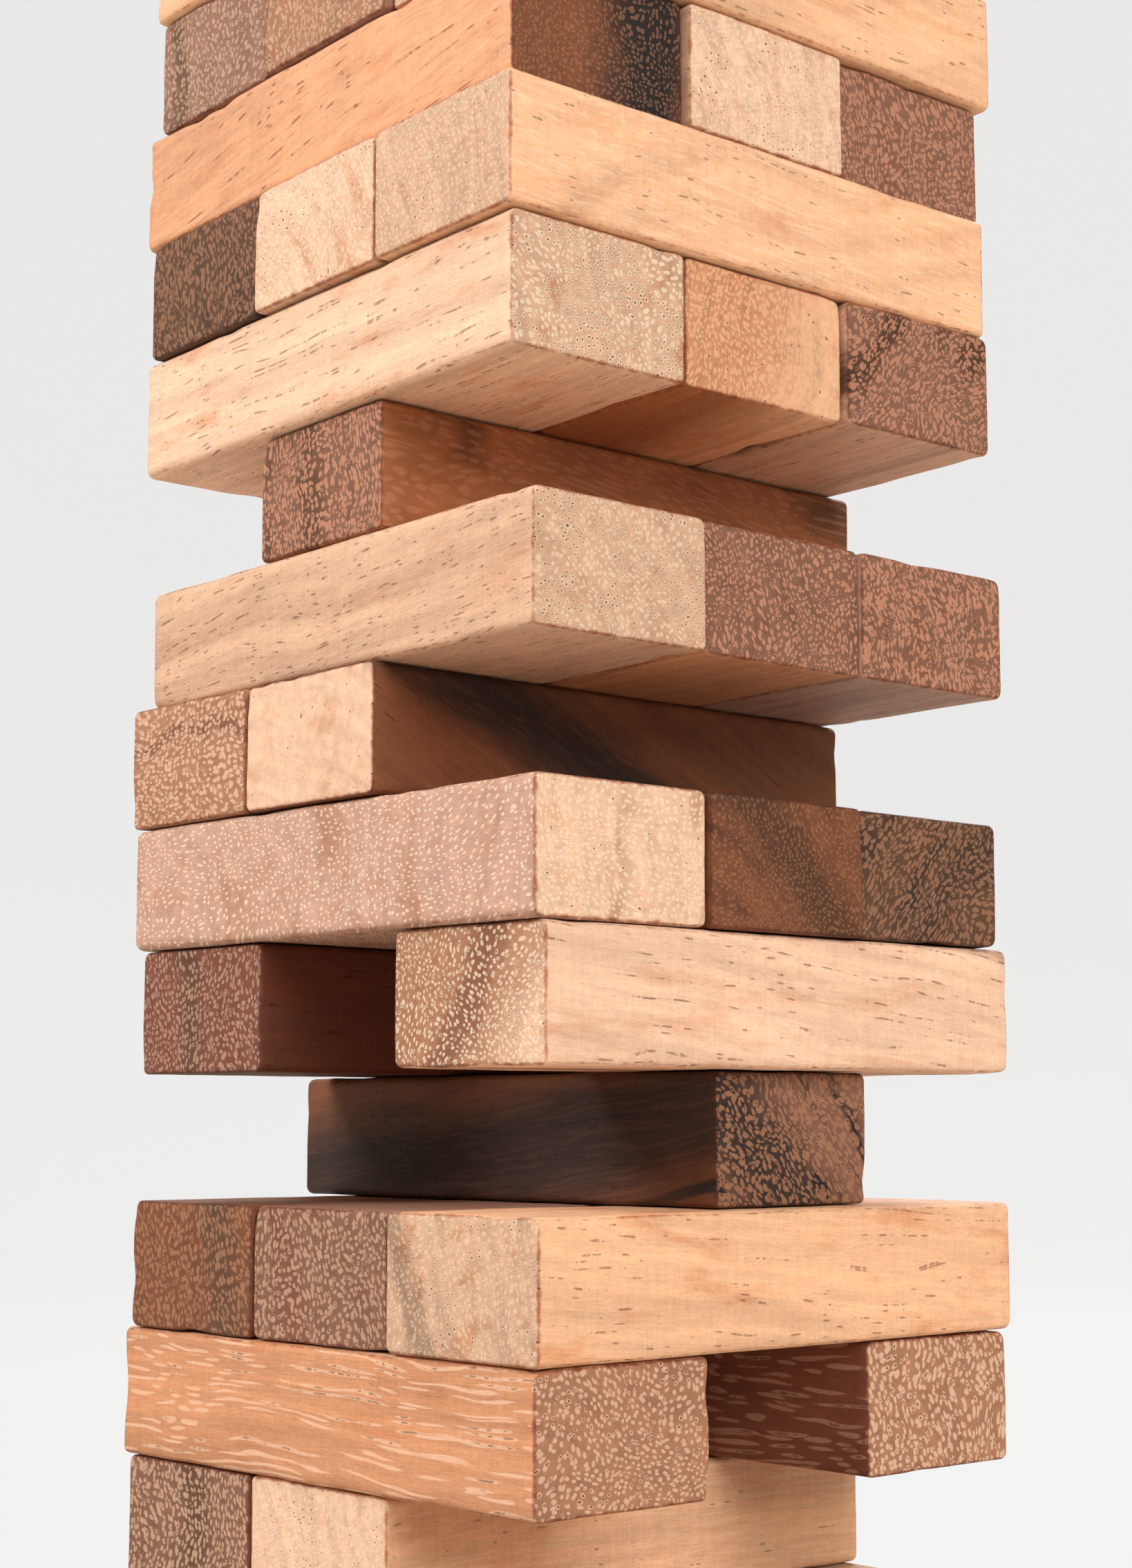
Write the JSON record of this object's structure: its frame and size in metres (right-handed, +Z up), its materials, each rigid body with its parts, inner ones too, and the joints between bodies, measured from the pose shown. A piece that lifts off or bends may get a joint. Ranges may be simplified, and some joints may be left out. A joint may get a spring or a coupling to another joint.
{
  "type": "tumbling tower block game",
  "caption": "Tower of loose wooden blocks laid crosswise in levels, part-way through a game, each block free to slide out lengthwise.",
  "frame": {"origin": "centre of the bottom face of the bottom level's middle block, on the table", "axes": "+Z up the tower; odd levels run along Y and even levels along X, apart from small turns left by play"},
  "size_m": [0.0809, 0.0796, 0.316],
  "materials": {
    "cream_wood": "sanded, unvarnished",
    "honey_wood": "sanded, unvarnished",
    "blush_wood": "sanded, unvarnished",
    "amber_wood": "sanded, unvarnished",
    "mauve_wood": "sanded, unvarnished",
    "russet_wood": "sanded, unvarnished",
    "umber_wood": "sanded, unvarnished",
    "ebony_wood": "sanded, unvarnished"
  },
  "bodies": {
    "level01_left": {"level01_left": "russet_wood"},
    "level01_middle": {"level01_middle": "honey_wood"},
    "level01_right": {"level01_right": "amber_wood"},
    "level02_front": {"level02_front": "blush_wood"},
    "level02_middle": {"level02_middle": "umber_wood"},
    "level02_back": {"level02_back": "cream_wood"},
    "level03_left": {"level03_left": "amber_wood"},
    "level03_middle": {"level03_middle": "mauve_wood"},
    "level03_right": {"level03_right": "honey_wood"},
    "level04_front": {"level04_front": "cream_wood"},
    "level04_middle": {"level04_middle": "russet_wood"},
    "level04_back": {"level04_back": "blush_wood"},
    "level05_left": {"level05_left": "russet_wood"},
    "level05_middle": {"level05_middle": "amber_wood"},
    "level06_front": {"level06_front": "amber_wood"},
    "level06_back": {"level06_back": "amber_wood"},
    "level07_left": {"level07_left": "umber_wood"},
    "level07_middle": {"level07_middle": "mauve_wood"},
    "level07_right": {"level07_right": "honey_wood"},
    "level08_middle": {"level08_middle": "umber_wood"},
    "level09_left": {"level09_left": "russet_wood"},
    "level09_right": {"level09_right": "cream_wood"},
    "level10_front": {"level10_front": "mauve_wood"},
    "level10_middle": {"level10_middle": "russet_wood"},
    "level10_back": {"level10_back": "ebony_wood"},
    "level11_left": {"level11_left": "blush_wood"},
    "level11_middle": {"level11_middle": "russet_wood"},
    "level12_front": {"level12_front": "blush_wood"},
    "level12_middle": {"level12_middle": "russet_wood"},
    "level12_back": {"level12_back": "russet_wood"},
    "level13_middle": {"level13_middle": "russet_wood"},
    "level14_front": {"level14_front": "blush_wood"},
    "level14_middle": {"level14_middle": "amber_wood"},
    "level14_back": {"level14_back": "umber_wood"},
    "level15_left": {"level15_left": "umber_wood"},
    "level15_middle": {"level15_middle": "blush_wood"},
    "level15_right": {"level15_right": "honey_wood"},
    "level16_front": {"level16_front": "amber_wood"},
    "level16_middle": {"level16_middle": "blush_wood"},
    "level16_back": {"level16_back": "russet_wood"},
    "level17_left": {"level17_left": "russet_wood"},
    "level17_middle": {"level17_middle": "russet_wood"},
    "level17_right": {"level17_right": "honey_wood"},
    "level18_front": {"level18_front": "amber_wood"},
    "level18_middle": {"level18_middle": "cream_wood"},
    "level18_back": {"level18_back": "mauve_wood"},
    "level19_left": {"level19_left": "honey_wood"},
    "level19_middle": {"level19_middle": "umber_wood"},
    "level19_right": {"level19_right": "amber_wood"},
    "level20_front": {"level20_front": "russet_wood"},
    "level20_middle": {"level20_middle": "cream_wood"},
    "level20_back": {"level20_back": "blush_wood"},
    "level21_left": {"level21_left": "amber_wood"},
    "level21_middle": {"level21_middle": "umber_wood"}
  },
  "joints": [
    {"name": "level01_left_slide", "type": "slide", "parent": "level01_middle", "child": "level01_left", "axis": [0, -1, 0], "range_m": [-0.075, 0.075]},
    {"name": "level01_right_slide", "type": "slide", "parent": "level01_middle", "child": "level01_right", "axis": [0, -1, 0], "range_m": [-0.075, 0.075]},
    {"name": "level02_front_slide", "type": "slide", "parent": "level01_middle", "child": "level02_front", "axis": [0.9999, 0.015, 0], "range_m": [-0.075, 0.075]},
    {"name": "level02_middle_slide", "type": "slide", "parent": "level01_middle", "child": "level02_middle", "axis": [0.9999, 0.015, 0], "range_m": [-0.075, 0.075]},
    {"name": "level02_back_slide", "type": "slide", "parent": "level01_middle", "child": "level02_back", "axis": [0.9999, 0.015, 0], "range_m": [-0.075, 0.075]},
    {"name": "level03_left_slide", "type": "slide", "parent": "level01_middle", "child": "level03_left", "axis": [0.0238, -0.9997, 0], "range_m": [-0.075, 0.075]},
    {"name": "level03_middle_slide", "type": "slide", "parent": "level01_middle", "child": "level03_middle", "axis": [0.0238, -0.9997, 0], "range_m": [-0.075, 0.075]},
    {"name": "level03_right_slide", "type": "slide", "parent": "level01_middle", "child": "level03_right", "axis": [0.0238, -0.9997, 0], "range_m": [-0.075, 0.075]},
    {"name": "level04_front_slide", "type": "slide", "parent": "level01_middle", "child": "level04_front", "axis": [0.9997, 0.0245, 0], "range_m": [-0.075, 0.075]},
    {"name": "level04_middle_slide", "type": "slide", "parent": "level01_middle", "child": "level04_middle", "axis": [0.9997, 0.0245, 0], "range_m": [-0.075, 0.075]},
    {"name": "level04_back_slide", "type": "slide", "parent": "level01_middle", "child": "level04_back", "axis": [0.9997, 0.0245, 0], "range_m": [-0.075, 0.075]},
    {"name": "level05_left_slide", "type": "slide", "parent": "level01_middle", "child": "level05_left", "axis": [0.0205, -0.9998, 0], "range_m": [-0.075, 0.075]},
    {"name": "level05_middle_slide", "type": "slide", "parent": "level01_middle", "child": "level05_middle", "axis": [0.0205, -0.9998, 0], "range_m": [-0.075, 0.075]},
    {"name": "level06_front_slide", "type": "slide", "parent": "level01_middle", "child": "level06_front", "axis": [0.9998, 0.0175, 0], "range_m": [-0.075, 0.075]},
    {"name": "level06_back_slide", "type": "slide", "parent": "level01_middle", "child": "level06_back", "axis": [0.9998, 0.0175, 0], "range_m": [-0.075, 0.075]},
    {"name": "level07_left_slide", "type": "slide", "parent": "level01_middle", "child": "level07_left", "axis": [0.0187, -0.9998, 0], "range_m": [-0.075, 0.075]},
    {"name": "level07_middle_slide", "type": "slide", "parent": "level01_middle", "child": "level07_middle", "axis": [0.0187, -0.9998, 0], "range_m": [-0.075, 0.075]},
    {"name": "level07_right_slide", "type": "slide", "parent": "level01_middle", "child": "level07_right", "axis": [0.0187, -0.9998, 0], "range_m": [-0.075, 0.075]},
    {"name": "level08_middle_slide", "type": "slide", "parent": "level01_middle", "child": "level08_middle", "axis": [0.9998, 0.0223, 0], "range_m": [-0.075, 0.075]},
    {"name": "level09_left_slide", "type": "slide", "parent": "level01_middle", "child": "level09_left", "axis": [0.0229, -0.9997, 0], "range_m": [-0.075, 0.075]},
    {"name": "level09_right_slide", "type": "slide", "parent": "level01_middle", "child": "level09_right", "axis": [0.0229, -0.9997, 0], "range_m": [-0.075, 0.075]},
    {"name": "level10_front_slide", "type": "slide", "parent": "level01_middle", "child": "level10_front", "axis": [0.9999, 0.0162, 0], "range_m": [-0.075, 0.075]},
    {"name": "level10_middle_slide", "type": "slide", "parent": "level01_middle", "child": "level10_middle", "axis": [0.9999, 0.0162, 0], "range_m": [-0.075, 0.075]},
    {"name": "level10_back_slide", "type": "slide", "parent": "level01_middle", "child": "level10_back", "axis": [0.9999, 0.0162, 0], "range_m": [-0.075, 0.075]},
    {"name": "level11_left_slide", "type": "slide", "parent": "level01_middle", "child": "level11_left", "axis": [0.0023, -1, 0], "range_m": [-0.075, 0.075]},
    {"name": "level11_middle_slide", "type": "slide", "parent": "level01_middle", "child": "level11_middle", "axis": [0.0023, -1, 0], "range_m": [-0.075, 0.075]},
    {"name": "level12_front_slide", "type": "slide", "parent": "level01_middle", "child": "level12_front", "axis": [0.9999, -0.0134, 0], "range_m": [-0.075, 0.075]},
    {"name": "level12_middle_slide", "type": "slide", "parent": "level01_middle", "child": "level12_middle", "axis": [0.9999, -0.0134, 0], "range_m": [-0.075, 0.075]},
    {"name": "level12_back_slide", "type": "slide", "parent": "level01_middle", "child": "level12_back", "axis": [0.9999, -0.0134, 0], "range_m": [-0.075, 0.075]},
    {"name": "level13_middle_slide", "type": "slide", "parent": "level01_middle", "child": "level13_middle", "axis": [-0.0241, -0.9997, 0], "range_m": [-0.075, 0.075]},
    {"name": "level14_front_slide", "type": "slide", "parent": "level01_middle", "child": "level14_front", "axis": [0.9996, -0.0265, 0], "range_m": [-0.075, 0.075]},
    {"name": "level14_middle_slide", "type": "slide", "parent": "level01_middle", "child": "level14_middle", "axis": [0.9996, -0.0265, 0], "range_m": [-0.075, 0.075]},
    {"name": "level14_back_slide", "type": "slide", "parent": "level01_middle", "child": "level14_back", "axis": [0.9996, -0.0265, 0], "range_m": [-0.075, 0.075]},
    {"name": "level15_left_slide", "type": "slide", "parent": "level01_middle", "child": "level15_left", "axis": [-0.0226, -0.9997, 0], "range_m": [-0.075, 0.075]},
    {"name": "level15_middle_slide", "type": "slide", "parent": "level01_middle", "child": "level15_middle", "axis": [-0.0226, -0.9997, 0], "range_m": [-0.075, 0.075]},
    {"name": "level15_right_slide", "type": "slide", "parent": "level01_middle", "child": "level15_right", "axis": [-0.0226, -0.9997, 0], "range_m": [-0.075, 0.075]},
    {"name": "level16_front_slide", "type": "slide", "parent": "level01_middle", "child": "level16_front", "axis": [0.9998, -0.0181, 0], "range_m": [-0.075, 0.075]},
    {"name": "level16_middle_slide", "type": "slide", "parent": "level01_middle", "child": "level16_middle", "axis": [0.9998, -0.0181, 0], "range_m": [-0.075, 0.075]},
    {"name": "level16_back_slide", "type": "slide", "parent": "level01_middle", "child": "level16_back", "axis": [0.9998, -0.0181, 0], "range_m": [-0.075, 0.075]},
    {"name": "level17_left_slide", "type": "slide", "parent": "level01_middle", "child": "level17_left", "axis": [-0.0173, -0.9998, 0], "range_m": [-0.075, 0.075]},
    {"name": "level17_middle_slide", "type": "slide", "parent": "level01_middle", "child": "level17_middle", "axis": [-0.0173, -0.9998, 0], "range_m": [-0.075, 0.075]},
    {"name": "level17_right_slide", "type": "slide", "parent": "level01_middle", "child": "level17_right", "axis": [-0.0173, -0.9998, 0], "range_m": [-0.075, 0.075]},
    {"name": "level18_front_slide", "type": "slide", "parent": "level01_middle", "child": "level18_front", "axis": [0.9998, -0.02, 0], "range_m": [-0.075, 0.075]},
    {"name": "level18_middle_slide", "type": "slide", "parent": "level01_middle", "child": "level18_middle", "axis": [0.9998, -0.02, 0], "range_m": [-0.075, 0.075]},
    {"name": "level18_back_slide", "type": "slide", "parent": "level01_middle", "child": "level18_back", "axis": [0.9998, -0.02, 0], "range_m": [-0.075, 0.075]},
    {"name": "level19_left_slide", "type": "slide", "parent": "level01_middle", "child": "level19_left", "axis": [-0.0216, -0.9998, 0], "range_m": [-0.075, 0.075]},
    {"name": "level19_middle_slide", "type": "slide", "parent": "level01_middle", "child": "level19_middle", "axis": [-0.0216, -0.9998, 0], "range_m": [-0.075, 0.075]},
    {"name": "level19_right_slide", "type": "slide", "parent": "level01_middle", "child": "level19_right", "axis": [-0.0216, -0.9998, 0], "range_m": [-0.075, 0.075]},
    {"name": "level20_front_slide", "type": "slide", "parent": "level01_middle", "child": "level20_front", "axis": [0.9999, -0.0167, 0], "range_m": [-0.075, 0.075]},
    {"name": "level20_middle_slide", "type": "slide", "parent": "level01_middle", "child": "level20_middle", "axis": [0.9999, -0.0167, 0], "range_m": [-0.075, 0.075]},
    {"name": "level20_back_slide", "type": "slide", "parent": "level01_middle", "child": "level20_back", "axis": [0.9999, -0.0167, 0], "range_m": [-0.075, 0.075]},
    {"name": "level21_left_slide", "type": "slide", "parent": "level01_middle", "child": "level21_left", "axis": [-0.0044, -1, 0], "range_m": [-0.075, 0.075]},
    {"name": "level21_middle_slide", "type": "slide", "parent": "level01_middle", "child": "level21_middle", "axis": [-0.0044, -1, 0], "range_m": [-0.075, 0.075]}
  ]
}
